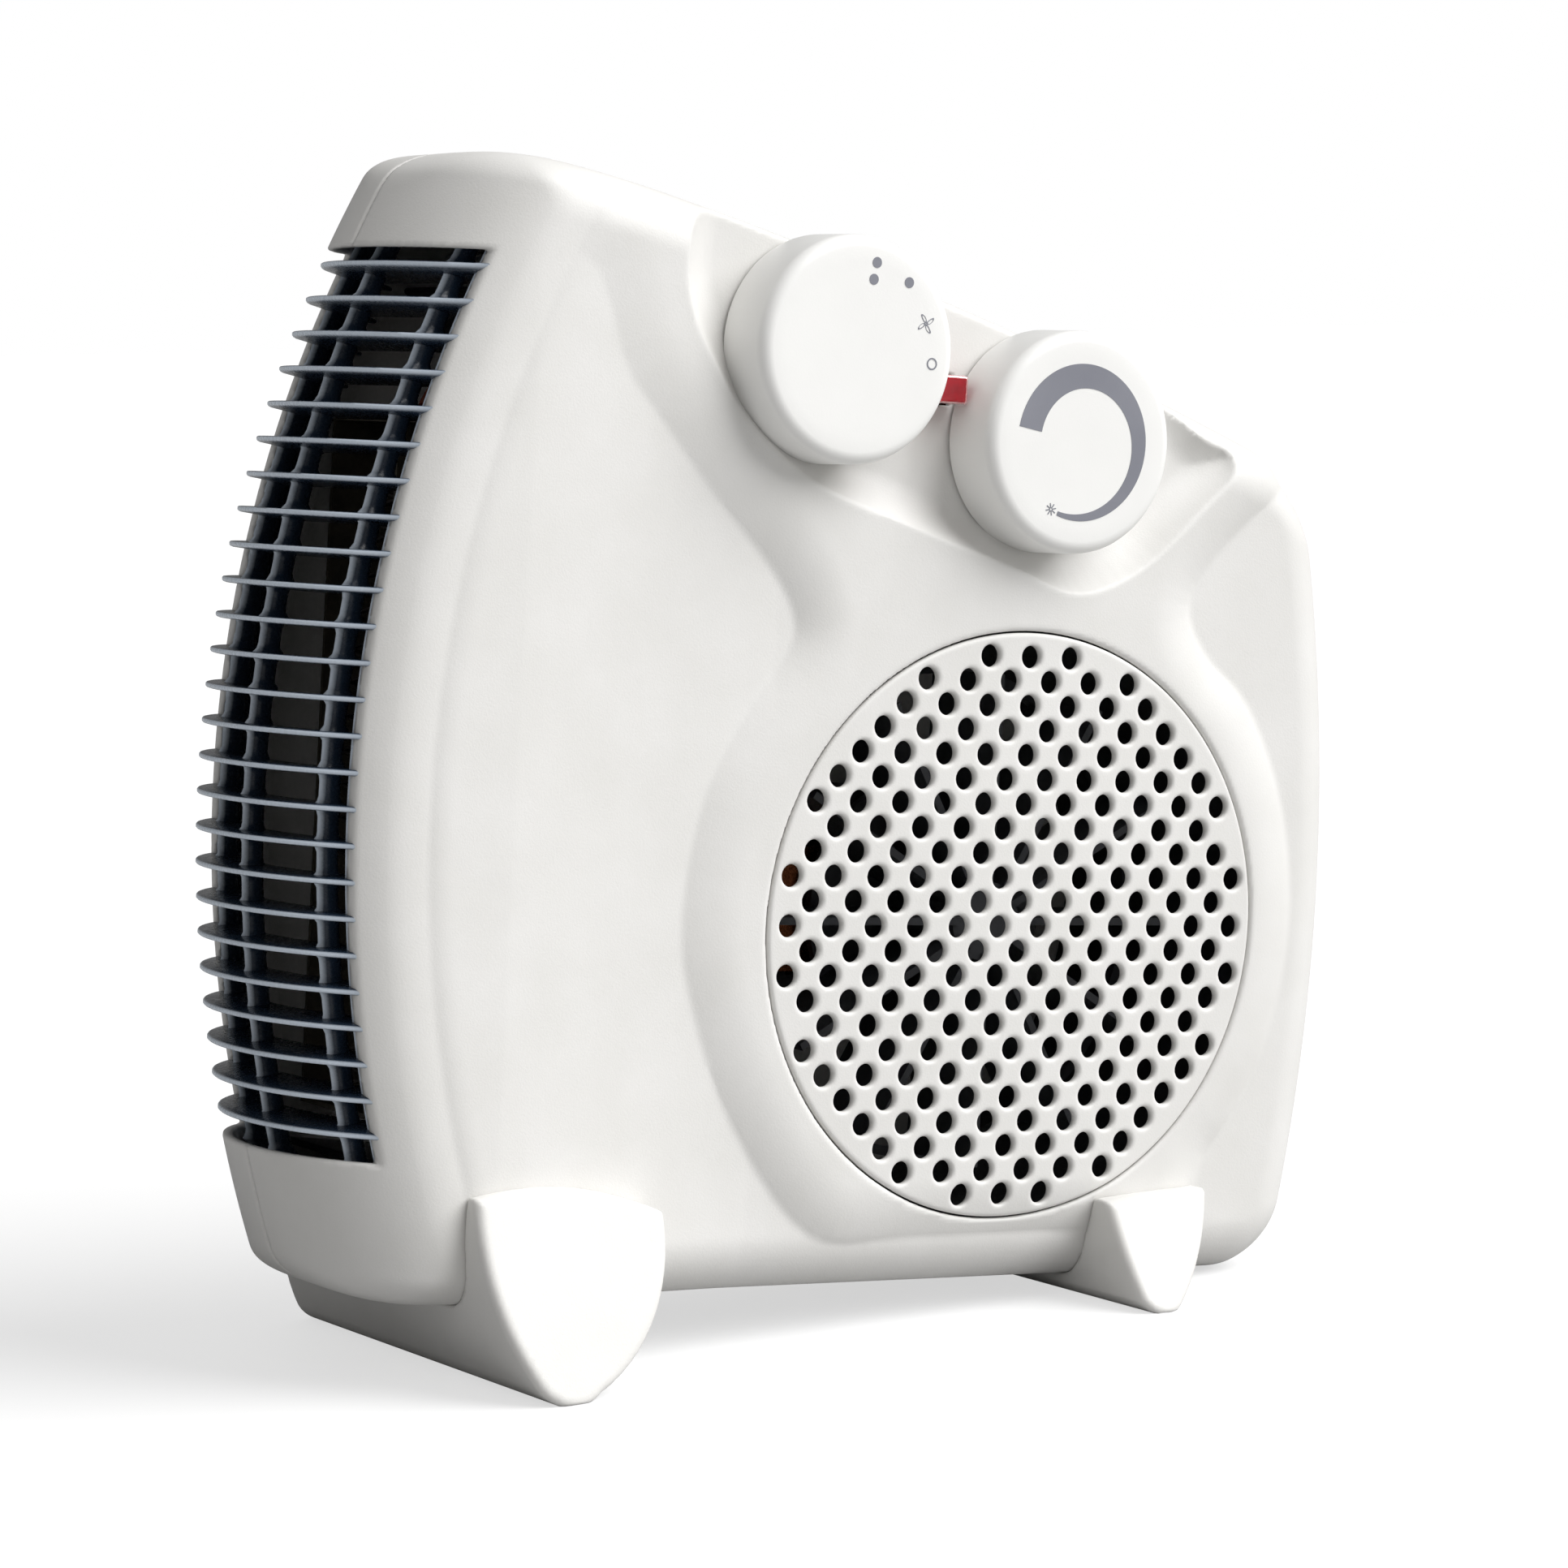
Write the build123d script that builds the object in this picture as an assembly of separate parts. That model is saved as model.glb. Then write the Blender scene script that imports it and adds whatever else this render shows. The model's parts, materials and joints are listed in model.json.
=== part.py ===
from build123d import *
import os
from math import atan2, cos, degrees, radians, sin, sqrt, tan

os.makedirs("parts", exist_ok=True)

# Every piece is drawn in the heater's own frame, in millimetres: X to the right, Y into the
# casing, Z up, with the origin on the front face at the middle of the air intake. The finished
# pieces are then leaned and lifted so the two feet stand level on Z = 0.

# ---- casing ----
BODY_DEPTH = 74.0
MID_Y = BODY_DEPTH / 2
WALL = 2.2
PANEL_STEP = 2.5
FRONT_WALL = WALL + PANEL_STEP
EDGE_ROUND = 13.0
BODY_BOTTOM = -77.8
BODY_RIGHT = 90.1
TOP_LEFT_Z = 153.6
SHOULDER = (-94.0, 150.4)
TOP_RIGHT = (79.0, 100.2)
BOTTOM_RIGHT = (81.4, BODY_BOTTOM)
FIT_GAP = 0.05

# ---- air outlet on the left-hand nose ----
ARC_X = 102.0
ARC_Z = 23.0
NOSE_START = 245.0
NOSE_BULGE = 28.0
OPENING_RADIUS = 259.3
OPENING_TOP = 133.4
OPENING_BOTTOM = -47.7
FIN_COUNT = 25
FIN_PITCH = 7.19
FIN_THICK = 1.2
FIN_DEPTH = 11.0
FIRST_FIN_Z = 130.2

# ---- air intake ----
INTAKE_RADIUS = 62.4
INTAKE_THICK = 2.2
HOLE_PITCH = 5.2
HOLE_RADIUS = 2.4
HOLE_FIELD = 11.45

# ---- knobs ----
KNOB_RADIUS = 23.6
KNOB_FRONT = -7.8
POCKET_FLOOR = 8.0
KNOB_BACK = POCKET_FLOOR - 0.5
SELECTOR = (-53.6, 118.8)
THERMOSTAT = (3.3, 102.9)
SPINDLE_RADIUS = 3.0
RUNNING_GAP = 0.05
LAMP = (-23.8, 112.4)

# ---- feet ----
LEFT_FOOT = (-114.4, -94.0)
RIGHT_FOOT = (31.5, -81.7)
FOOT_OVERHANG = 18.0
FOOT_FLAT = 0.6

# ---- fan and motor ----
FAN_RADIUS = 54.0
FAN_FRONT = 12.0
FAN_BACK = 38.0
BLADE_COUNT = 12
SHAFT_RADIUS = 2.0
STACK_FRONT = 46.0
STACK_BACK = 62.0
ROTOR_RADIUS = 10.6
DUCT_RADIUS = 64.0

# ---- heater and electrics ----
HEATER_X = -126.0
HEATER_LOW = -43.0
HEATER_HIGH = 100.0
CUTOUT = (-108.0, 96.0)
TERMINALS = (52.0, 84.0)
CORD_EXIT = (58.0, 60.0)
CORD_RADIUS = 3.2
HANK_CENTRE = (-5.0, -8.0)
HANK_TURNS = 4
HANK_PITCH = 7.2
PLUG_X = -96.0
PLUG_Z = 76.0

# ---- fasteners ----
BOSSES = [(72.0, 78.0), (70.0, -58.0), (-104.0, 131.0), (-136.0, -61.0), (27.0, 68.0)]
MOTOR_POSTS = [(16.0, 20.0), (16.0, -20.0), (-34.0, 20.0), (-34.0, -20.0)]
FOOT_SCREW_Y = (20.0, 54.0)
SCREW_SEAT = MID_Y + 12.0


def rod(radius, y_from, y_to, x=0.0, z=0.0):
    """A round bar along Y."""
    bar = Cylinder(radius, y_to - y_from, rotation=(90, 0, 0))
    return Pos(x, (y_from + y_to) / 2, z) * bar


def block(x_from, x_to, y_from, y_to, z_from, z_to):
    """A box between two corners."""
    size = Box(x_to - x_from, y_to - y_from, z_to - z_from)
    middle = Pos((x_from + x_to) / 2, (y_from + y_to) / 2, (z_from + z_to) / 2)
    return middle * size


def slab(face, y_from, y_to):
    """A flat shape drawn as (x, z), given thickness along Y."""
    drawn = Plane((0, y_from, 0), x_dir=(1, 0, 0), z_dir=(0, -1, 0)) * face
    return extrude(drawn, amount=y_to - y_from, dir=(0, 1, 0))


def polygon(points, corner=0.0):
    """A closed outline in (x, z) with equal corner roundings."""
    face = make_face(Polyline(*points, close=True))
    return fillet(face.vertices(), corner) if corner else face


def arc_x(radius, z):
    """X of the outlet arc of the given radius at height z."""
    return ARC_X - sqrt(radius**2 - (z - ARC_Z) ** 2)


# ---- casing ----
def front_outline():
    """Front view of the casing before its nose is rounded."""
    left = NOSE_START + NOSE_BULGE + 3
    top_left = (arc_x(left, TOP_LEFT_Z), TOP_LEFT_Z)
    bottom_left = (arc_x(left, BODY_BOTTOM), BODY_BOTTOM)
    crown = Line(SHOULDER, TOP_RIGHT)
    outline = [
        ThreePointArc(bottom_left, (ARC_X - left, ARC_Z), top_left),
        TangentArc(SHOULDER, top_left, tangent=-(crown % 0)),
        crown,
        ThreePointArc(TOP_RIGHT, (BODY_RIGHT, 0), BOTTOM_RIGHT),
        Line(BOTTOM_RIGHT, bottom_left),
    ]
    face = make_face(outline)
    corners = {top_left: 17.0, TOP_RIGHT: 16.0, BOTTOM_RIGHT: 16.0, bottom_left: 16.0}
    for (x, z), radius in corners.items():
        corner = face.vertices().sort_by_distance((x, z, 0))[0]
        face = fillet(corner, radius)
    return face


def nose_disc(inset):
    """Turned solid whose rim gives the nose its rounded plan all along the outlet arc."""
    half = MID_Y - inset
    bulge = NOSE_BULGE - inset
    low, high = MID_Y - half, MID_Y + half
    rim = EllipticalCenterArc((NOSE_START, MID_Y), bulge, half, -90, arc_size=180)
    section = make_face([rim, Polyline((NOSE_START, high), (0, high), (0, low), (NOSE_START, low))])
    return Pos(ARC_X, 0, ARC_Z) * revolve(section, Axis.Y, 360)


def casing(inset, front, back):
    """The casing's rounded volume, drawn in by the given inset."""
    face = offset(front_outline(), amount=-inset) if inset else front_outline()
    prism = slab(face, front, back)
    rims = prism.edges().group_by(Axis.Y)
    prism = fillet(rims[0] + rims[-1], EDGE_ROUND - inset)
    return prism & nose_disc(inset)


def pocket_outline():
    """Knob recess, open at the sloping top edge."""
    points = [
        (-90, 175), (-90, 131), (-80.5, 110.5), (-71, 100), (-56, 91), (0, 73.5), (12, 71.5),
        (22, 73.5), (52, 97), (55, 102), (51, 114), (51, 175),
    ]
    return polygon(points)


def left_panel():
    """Lowered panel left of the intake surround, running on below it as a ledge."""
    points = [
        (-124, 130), (-60, 69.5), (-58.5, 62), (-69, 43), (-79, 22), (-82, 2), (-79, -15),
        (-67, -41.5), (-45, -66), (24, -66.5), (24, -85), (-180, -85), (-180, 130),
    ]
    return polygon(points)


def right_panel():
    """Lowered panel right of the intake surround."""
    points = [
        (100, 100), (68, 96), (50, 80), (44, 70), (46, 62), (61, 47.5), (73, 22), (76, 0),
        (72, -25), (62, -43), (55, -54), (55, -85), (100, -85),
    ]
    return polygon(points)


def relief():
    """What is taken off the front face around the raised surround and its diagonal arm."""
    taper = polygon([(-124, 0), (-62, PANEL_STEP), (60, PANEL_STEP), (60, -5), (-124, -5)])
    wedge = extrude(taper, amount=300)
    lowered = slab(left_panel(), -2, PANEL_STEP) & Pos(0, 0, -120) * wedge
    return lowered + slab(right_panel(), -2, PANEL_STEP)


def shells():
    """Front and rear halves of the casing, with everything that is moulded into them."""
    outer = casing(0, 0, BODY_DEPTH)
    inner = casing(WALL, FRONT_WALL, BODY_DEPTH - WALL)
    pocket = slab(pocket_outline(), -20, POCKET_FLOOR)
    pocket_back = slab(offset(pocket_outline(), amount=WALL), -20, POCKET_FLOOR + WALL)
    hull = outer - (inner - pocket_back) - pocket - relief()
    opening = block(-200, -90, -5, BODY_DEPTH + 5, OPENING_BOTTOM, OPENING_TOP)
    opening -= rod(OPENING_RADIUS, -6, BODY_DEPTH + 6, ARC_X, ARC_Z)
    hull -= opening
    hull -= rod(INTAKE_RADIUS - 0.6, -5, 20)
    hull -= rod(INTAKE_RADIUS + 0.3, -5, INTAKE_THICK + 0.1)
    for x, z in (SELECTOR, THERMOSTAT):
        hull -= rod(SPINDLE_RADIUS + 1, 0, 20, x, z)
    hull -= block(LAMP[0] - 4.1, LAMP[0] + 4.1, 0, 20, LAMP[1] - 4.6, LAMP[1] + 4.6)
    hull -= rod(5.6, 60, 90, *CORD_EXIT)
    for foot in (LEFT_FOOT, RIGHT_FOOT):
        for y in FOOT_SCREW_Y:
            hull -= Pos(foot[0], y, BODY_BOTTOM) * Cylinder(1.65, 12)
    split = block(-250, 200, -50, MID_Y, -200, 250)
    front = hull & split
    rear = hull - split
    for x, z in BOSSES:
        front += rod(4.0, FRONT_WALL - 0.5, MID_Y, x, z) - rod(1.55, 18, MID_Y, x, z)
        post = rod(4.6, MID_Y, BODY_DEPTH - 1, x, z)
        rear = rear + post - rod(1.75, MID_Y - 1, BODY_DEPTH + 1, x, z)
        rear -= rod(3.6, SCREW_SEAT, BODY_DEPTH + 1, x, z)
    for x, z in MOTOR_POSTS:
        rear += rod(4.0, STACK_BACK, BODY_DEPTH - 1, x, z)
        rear -= rod(1.65, STACK_BACK - 1, BODY_DEPTH - 3.5, x, z)
    return front, rear


# ---- grilles ----
def intake_grille():
    """Flush round disc with a diamond lattice of round holes and four lugs behind."""
    disc = rod(INTAKE_RADIUS, 0, INTAKE_THICK)
    count = int(HOLE_FIELD)
    spots = [
        (i * HOLE_PITCH, k * HOLE_PITCH)
        for i in range(-count, count + 1)
        for k in range(-count, count + 1)
        if (i + k) % 2 and i * i + k * k <= HOLE_FIELD**2
    ]
    holes = Sketch() + [Pos(x, z) * Circle(HOLE_RADIUS) for x, z in spots]
    disc -= slab(holes, -1, INTAKE_THICK + 1)
    for angle in (116.6, 26.6, -63.4, 206.6):
        lug = block(58.6, 61.2, INTAKE_THICK, FRONT_WALL + 2.5, -4, 4)
        lug += block(58.6, 62.6, FRONT_WALL + 0.3, FRONT_WALL + 2.5, -4, 4)
        disc += Rot(0, -angle, 0) * lug
    return disc


def outlet_grille():
    """Curved fins joined by upright posts, with a mounting rail behind each long edge."""
    front, back = FRONT_WALL + 0.15, BODY_DEPTH - FRONT_WALL - 0.15
    low, high = OPENING_BOTTOM + 1, OPENING_TOP - 1
    core = nose_disc(FIN_DEPTH)
    outside = nose_disc(0) - core - rod(OPENING_RADIUS + 0.4, -1, BODY_DEPTH + 1, ARC_X, ARC_Z)
    under = nose_disc(WALL + 0.2) - core - rod(250, -1, BODY_DEPTH + 1, ARC_X, ARC_Z)
    stock = outside + under
    fins = []
    for number in range(FIN_COUNT):
        z = FIRST_FIN_Z - number * FIN_PITCH
        fins.append(block(-200, -90, front, back, z - FIN_THICK / 2, z + FIN_THICK / 2))
    grille = stock & (Part() + fins)
    uprights = []
    for y in (15.0, MID_Y, BODY_DEPTH - 15.0):
        uprights.append(block(-200, -90, y - 1.2, y + 1.2, low, high))
    posts = (nose_disc(6) - core) & (Part() + uprights)
    tall = block(-200, -90, front, back, low - 7, high + 7)
    rails = (nose_disc(WALL + 0.2) - nose_disc(WALL + 2.7)) & tall
    rails &= rod(257, -1, BODY_DEPTH + 1, ARC_X, ARC_Z)
    rails -= rod(250, -2, BODY_DEPTH + 2, ARC_X, ARC_Z)
    return grille + posts + rails


# ---- feet ----
def foot(outline, top_overhang, screw_x):
    """Bar running under the casing with an ear hugging its front and back faces."""
    top = outline.bounding_box().max.Y
    tip = outline.bounding_box().min.Y
    side = Polyline(
        (-top_overhang, top), (-FOOT_OVERHANG, tip),
        (BODY_DEPTH + FOOT_OVERHANG, tip), (BODY_DEPTH + top_overhang, top), close=True,
    )
    profile = extrude(Plane.YZ * make_face(side), amount=200, both=True)
    bar = slab(outline, -60, BODY_DEPTH + 60) & profile
    ends = bar.faces().filter_by(lambda face: abs(face.normal_at().Y) > 0.5)
    bar = fillet(ends.edges(), 2.0)
    hull = casing(-FIT_GAP, -FIT_GAP, BODY_DEPTH + FIT_GAP) - relief()
    bar -= hull
    for y in FOOT_SCREW_Y:
        bar -= Pos(screw_x, y, BODY_BOTTOM) * Cylinder(1.6, 4.6)
    return max(bar.solids(), key=lambda solid: solid.volume)


def left_foot_outline():
    """Front view of the larger foot."""
    return make_face([
        ThreePointArc((-130.5, -54.0), (-109.0, -52.5), (-87.5, -57.5)),
        ThreePointArc((-87.5, -57.5), (-92.0, -77.0), (-107.0, -91.5)),
        ThreePointArc((-107.0, -91.5), (-114.4, -94.0), (-121.0, -90.5)),
        ThreePointArc((-121.0, -90.5), (-128.5, -75.0), (-130.5, -54.0)),
    ])


def right_foot_outline():
    """Front view of the smaller foot."""
    return make_face([
        Line((24.5, -59.0), (52.0, -57.0)),
        ThreePointArc((52.0, -57.0), (46.0, -69.0), (37.0, -79.6)),
        ThreePointArc((37.0, -79.6), (31.5, -81.7), (26.5, -79.0)),
        ThreePointArc((26.5, -79.0), (25.0, -70.0), (24.5, -59.0)),
    ])


# ---- controls ----
def knob(x, z):
    """Hollow round knob with a rounded front edge and a D-shaped socket."""
    body = rod(KNOB_RADIUS, KNOB_FRONT, KNOB_BACK, x, z)
    body = fillet(body.edges().group_by(Axis.Y)[0], 2.6)
    body -= rod(KNOB_RADIUS - 1.8, KNOB_FRONT + 2.2, KNOB_BACK + 1, x, z)
    return body + rod(5.2, KNOB_FRONT + 1, KNOB_BACK, x, z) - spindle(x, z, KNOB_FRONT + 4, 30)


def spindle(x, z, y_from=KNOB_FRONT + 4, y_to=17.0):
    """Plastic spindle with a flat for the knob."""
    flat = block(x - 4, x + 4, y_from - 1, KNOB_BACK + 0.5, z + SPINDLE_RADIUS - 1.2, z + 5)
    return rod(SPINDLE_RADIUS, y_from, y_to, x, z) - flat


def lean(x, z):
    """Turns a part to lie along the sloping top, about the given knob axis."""
    return Pos(x, 0, z) * Rot(0, 15.5, 0)


def selector_switch():
    """Rotary switch case with a fixing plate and a row of solder tags."""
    x, z = SELECTOR
    case = block(-16, 16, 11.6, 34, -22, 11) + block(-21, 21, 10.4, 11.6, -9, 9)
    for tag in (-12, -6, 0, 6, 12):
        case += block(tag - 1.6, tag + 1.6, 34, 41, -10, -9.2)
    return lean(x, z) * case - rod(SPINDLE_RADIUS + RUNNING_GAP, 10, 17.1, x, z)


def thermostat_body():
    """Bimetal thermostat: ceramic stack, fixing plate and blade."""
    x, z = THERMOSTAT
    case = block(-12, 12, 11.6, 27, -11, 11) + block(-18, 18, 10.4, 11.6, -8, 8)
    case += block(-6, 6, 27, 27.8, -30, 8) + block(-5, 5, 27.8, 33, 0, 7)
    case += block(-1.6, 1.6, 33, 39, 3, 3.8)
    return lean(x, z) * case - rod(SPINDLE_RADIUS + RUNNING_GAP, 10, 17.1, x, z)


def pilot_lens():
    """Faceted window of the pilot lamp, set between the knobs."""
    x, z = LAMP
    lens = block(x - 4, x + 4, 1.5, 13, z - 4.5, z + 4.5)
    lens = chamfer(lens.faces().sort_by(Axis.Y)[0].edges(), 1.6)
    lens += block(x - 5.4, x + 5.4, POCKET_FLOOR + WALL + 0.1, 11.6, z - 5.9, z + 5.9)
    return lens - rod(3.2, 5, 14, x, z)


def pilot_lamp():
    """Neon bulb with two lead wires."""
    x, z = LAMP
    bulb = rod(3.0, 7, 20, x, z)
    for side in (-1.2, 1.2):
        bulb += rod(0.3, 20, 34, x + side, z)
    return bulb


# ---- motor and fan ----
def motor_core():
    """Laminated stator with a bore for the rotor and a window for the coil."""
    core = block(-40, 22, STACK_FRONT, STACK_BACK, -26, 26)
    core -= rod(ROTOR_RADIUS + 0.4, STACK_FRONT - 1, STACK_BACK + 1)
    core -= block(-29, -15, STACK_FRONT - 1, STACK_BACK + 1, -15, 15)
    for x, z in MOTOR_POSTS:
        core -= rod(1.65, STACK_FRONT - 1, STACK_BACK + 1, x, z)
    return core


def motor_coil():
    """Copper winding on the left leg of the stator."""
    reach = 6.0
    coil = block(-50, -18, STACK_FRONT - reach, STACK_BACK + reach, -13.5, 13.5)
    coil = fillet(coil.edges().filter_by(Axis.Z), 4.0)
    return coil - block(-40.1, -28.9, STACK_FRONT - 0.1, STACK_BACK + 0.1, -14, 14)


def motor_brackets():
    """Two straps that carry the bearings in front of and behind the stator."""
    strap = block(-7, 7, STACK_FRONT - 5, STACK_FRONT - 3.5, -24, 24)
    for side in (-1, 1):
        low, high = sorted((side * 24, side * 18))
        strap += block(-7, 7, STACK_FRONT - 3.5, STACK_FRONT, low, high)
    strap -= rod(4.0, 0, STACK_FRONT)
    middle = (STACK_FRONT + STACK_BACK) / 2
    return strap + mirror(strap, Plane((0, middle, 0), z_dir=(0, 1, 0)))


def motor_bearings():
    """Two sintered bushes."""
    bush = rod(4.0, STACK_FRONT - 6, STACK_FRONT - 1.5) - rod(SHAFT_RADIUS + RUNNING_GAP, 0, 80)
    middle = (STACK_FRONT + STACK_BACK) / 2
    return bush + mirror(bush, Plane((0, middle, 0), z_dir=(0, 1, 0)))


def rotor():
    return rod(ROTOR_RADIUS, STACK_FRONT, STACK_BACK) - rod(SHAFT_RADIUS, 0, 80)


def fan_shaft():
    return rod(SHAFT_RADIUS, 15, STACK_BACK + 7)


def impeller():
    """Radial fan wheel: hub, small back plate, straight blades and a tie ring."""
    wheel = rod(8.5, FAN_FRONT + 1, FAN_BACK) + rod(30, FAN_BACK - 2, FAN_BACK)
    blade = block(7, FAN_RADIUS - 1, FAN_FRONT, FAN_BACK - 1, -0.8, 0.8)
    for number in range(BLADE_COUNT):
        wheel += Rot(0, number * 360 / BLADE_COUNT, 0) * blade
    ring = rod(FAN_RADIUS, FAN_BACK - 4, FAN_BACK) - rod(FAN_RADIUS - 2, 0, 80)
    return wheel + ring - rod(SHAFT_RADIUS, 14, 80)


# ---- air path and heater ----
def duct_path():
    """Line of the scroll wall, from the top of the outlet round the fan to the bottom."""
    start = (DUCT_RADIUS * cos(radians(118)), DUCT_RADIUS * sin(radians(118)))
    end = (DUCT_RADIUS * cos(radians(-98)), DUCT_RADIUS * sin(radians(-98)))
    upper = Line((-116, 127), start)
    lower = Line(end, (-134, -52))
    return upper + ThreePointArc(start, (DUCT_RADIUS, 0), end) + lower


def air_duct():
    """Scroll wall that leads the air from the fan to the heater."""
    wall = make_face(offset(duct_path(), amount=0.75, side=Side.BOTH))
    wall = slab(wall, FRONT_WALL + 0.3, BODY_DEPTH - WALL - 0.3)
    return wall - block(-106, -92, 58, 80, 90, 130)


def heater_frame():
    """Mica cards: three upright sheets tied by two cross sheets."""
    frame = None
    for y in (9.0, MID_Y, BODY_DEPTH - 9.0):
        card = block(HEATER_X - 9, HEATER_X + 9, y - 0.5, y + 0.5, HEATER_LOW, HEATER_HIGH)
        frame = card if frame is None else frame + card
    for z in (HEATER_LOW, HEATER_HIGH - 1):
        frame += block(HEATER_X - 9, HEATER_X + 9, 8.5, BODY_DEPTH - 8.5, z, z + 1)
    return frame


def heating_ribbons():
    """Four corrugated resistance ribbons strung between the mica cards."""
    ribbons = []
    for y in (23.0, BODY_DEPTH - 23.0):
        for x in (HEATER_X - 5, HEATER_X + 5):
            points = []
            z, side = HEATER_LOW + 4, 1
            while z < HEATER_HIGH - 4:
                points.append((y + side * 10, z))
                z, side = z + 3.5, -side
            path = Polyline(*points)
            strip = make_face(offset(path, amount=0.25, side=Side.BOTH))
            side_on = Plane((x - 1, 0, 0), x_dir=(0, 1, 0), z_dir=(1, 0, 0))
            ribbons.append(extrude(side_on * strip, amount=2))
    return ribbons


# ---- electrics ----
def thermal_cutout():
    """Round bimetal cut-out beside the upper end of the heater."""
    x, z = CUTOUT
    can = rod(8, 40, 46, x, z) + rod(6.5, 46, 52, x, z)
    for side in (-3.4, 3.4):
        can += block(x + side - 0.4, x + side + 0.4, 52, 59, z - 3, z + 3)
    return can


def thermal_fuse():
    """One-shot fuse with its two leads."""
    return Pos(HEATER_X + 13, 50, 66) * (Cylinder(2.0, 11) + Cylinder(0.5, 26))


def terminal_block():
    """Three-way screw connector."""
    x, z = TERMINALS
    strip = block(x - 13, x + 13, 46, 60, z - 7, z + 7)
    for pole in (-8.6, 0, 8.6):
        strip -= rod(2.2, 44, 50, x + pole, z)
        strip -= Pos(x + pole, 55, z) * Cylinder(1.6, 20)
    return strip


def tube(points, radius):
    """A round flexible lead through the given points."""
    path = Spline(*points)
    start = Plane(path @ 0, z_dir=path % 0)
    return sweep(start * Circle(radius), path=path)


def internal_wiring():
    """Insulated leads between the connector, the controls, the heater and the cord."""
    x, z = TERMINALS
    runs = [
        [(x - 8.6, 55, z + 8), (30, 50, 101), (12, 44, 107), (4.2, 40.2, 106.2)],
        [(x, 55, z + 8), (35, 58, 103), (-15, 60, 112), (-42, 52, 106), (-50.4, 42.3, 107.9)],
        [(-67.7, 42.3, 112.8), (-80, 56, 113), (-97, 62.5, 109), (-106, 61, 99)],
        [(-61.9, 42.3, 111.2), (-82, 50, 124), (-103, 61.5, 117), (-116, 62, 103)],
        [(56, 61, 60.5), (53, 57, 68), (52, 55, 76.5)],
        [(60, 61, 60.5), (61, 57, 68), (60.6, 55, 76.5)],
    ]
    return [tube(run, 1.1) for run in runs]


def cord_grip():
    """Rubber bush that guards the cord where it leaves the back."""
    x, z = CORD_EXIT
    bush = rod(5.5, BODY_DEPTH - 5, BODY_DEPTH + 8, x, z)
    bush += rod(7.0, BODY_DEPTH + 0.05, BODY_DEPTH + 2.5, x, z)
    bush += rod(7.0, BODY_DEPTH - 5, BODY_DEPTH - WALL - 0.05, x, z)
    return bush - rod(CORD_RADIUS, 0, 200, x, z)


def rounded_run(points, radius):
    """Straight lines through the points, with every corner rounded."""
    run = []
    start = Vector(*points[0])
    for before, corner, after in zip(points, points[1:], points[2:]):
        corner = Vector(*corner)
        back = (Vector(*before) - corner).normalized()
        ahead = (Vector(*after) - corner).normalized()
        half = radians(back.get_angle(ahead)) / 2
        first = corner + back * (radius / tan(half))
        last = corner + ahead * (radius / tan(half))
        middle = corner + (back + ahead).normalized() * (radius / sin(half) - radius)
        run += [Line(start, first), ThreePointArc(first, middle, last)]
        start = last
    return run + [Line(start, points[-1])]


def half_turn(x, y, z_from, z_to, side):
    """Half circle of cord bulging to the given side."""
    bulge = side * abs(z_to - z_from) / 2
    return ThreePointArc((x, y, z_from), (x + bulge, y, (z_from + z_to) / 2), (x, y, z_to))


def power_cord():
    """Mains cord from the plug, wound into a flat oval hank and led into the casing."""
    x, z = HANK_CENTRE
    y = BODY_DEPTH + 4
    over = BODY_DEPTH + 11.5
    left, right = x - 22, x + 22
    low = z - 16
    from_plug = [(PLUG_X + 38, over, PLUG_Z), (left - 13, over, PLUG_Z), (left - 13, over, 22)]
    path = rounded_run(from_plug + [(left - 7, y, low), (right, y, low)], 9)
    for turn in range(HANK_TURNS):
        high = z + 19.6 + HANK_PITCH * turn
        path.append(half_turn(right, y, low, high, 1))
        path.append(Line((right, y, high), (left, y, high)))
        path.append(half_turn(left, y, high, low - HANK_PITCH, -1))
        low -= HANK_PITCH
        path.append(Line((left, y, low), (right, y, low)))
    radius = 17.8 + HANK_PITCH * HANK_TURNS
    halfway = radius * sqrt(0.5)
    end = (right + radius, y, low + radius)
    path.append(ThreePointArc((right, y, low), (right + halfway, y, end[2] - halfway), end))
    exit_x, exit_z = CORD_EXIT
    bush = [(exit_x, BODY_DEPTH + 20.5, exit_z), (exit_x, BODY_DEPTH - 11, exit_z)]
    path += rounded_run([end, (end[0], y, 20)] + bush, 8)
    line = Wire(path)
    return sweep(Plane(line @ 0, z_dir=line % 0) * Circle(CORD_RADIUS), path=line)


def cord_tie():
    """Flat tie holding the hank together."""
    x, z = HANK_CENTRE
    low, high = z - 49.0, z - 12.0
    band = block(x - 4, x + 4, BODY_DEPTH + 0.1, BODY_DEPTH + 8, low, high)
    return band - block(x - 5, x + 5, BODY_DEPTH + 0.7, BODY_DEPTH + 7.3, low + 0.6, high - 0.6)


def plug_body():
    """Moulded two-pin plug lying against the back."""
    x, y = PLUG_X, BODY_DEPTH + 11.5
    body = block(x, x + 34, y - 11, y + 11, PLUG_Z - 17.5, PLUG_Z + 17.5)
    body = fillet(body.edges().filter_by(Axis.X), 9.5)
    body += Pos(x + 37, y, PLUG_Z) * Cylinder(5.5, 8, rotation=(0, 90, 0))
    body -= Pos(x + 40, y, PLUG_Z) * Cylinder(CORD_RADIUS, 6, rotation=(0, 90, 0))
    for side in (-9.5, 9.5):
        body -= Pos(x, y, PLUG_Z + side) * Cylinder(2.4, 20, rotation=(0, 90, 0))
    return body


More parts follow.
